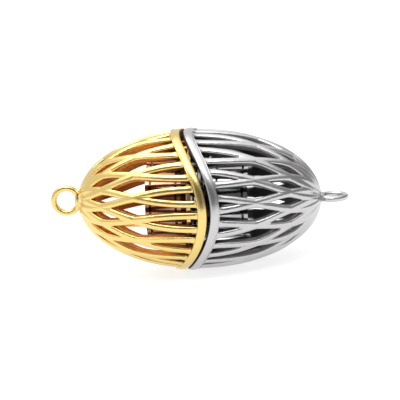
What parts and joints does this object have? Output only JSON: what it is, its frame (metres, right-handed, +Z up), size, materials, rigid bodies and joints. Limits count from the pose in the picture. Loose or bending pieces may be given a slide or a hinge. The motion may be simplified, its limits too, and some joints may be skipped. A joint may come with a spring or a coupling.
{
  "type": "magnetic clasp",
  "caption": "Egg-shaped openwork magnetic clasp: a gold plated and a rhodium plated cage of crossing ribs meet on a wavy seam, each with a magnet and a wire loop.",
  "frame": {"origin": "on the floor under the middle of the closed clasp's outer box", "axes": "+X runs level along the clasp from the yellow half to the white half, +Z is up and -Y faces the picture's camera. The clasp's own axis falls 6.4 degrees towards the white end, because it rests on the rim and ribs of the white half"},
  "size_m": [0.029, 0.014, 0.0141],
  "materials": {
    "gold_plate": "polished yellow gold plate over cast silver",
    "rhodium_plate": "polished rhodium plate over cast silver",
    "magnet_nickel": "nickel plated magnet"
  },
  "bodies": {
    "white_half": {"white_cage": "rhodium_plate", "white_mouth_plate": "rhodium_plate", "white_magnet_cup": "rhodium_plate", "white_magnet": "magnet_nickel"},
    "yellow_half": {"yellow_cage": "gold_plate", "yellow_mouth_plate": "gold_plate", "yellow_magnet_cup": "gold_plate", "yellow_magnet": "magnet_nickel"}
  },
  "joints": [
    {"name": "pull_apart", "type": "slide", "parent": "white_half", "child": "yellow_half", "axis": [-0.9938, 0, 0.1113], "range_m": [0, 0.01]}
  ]
}
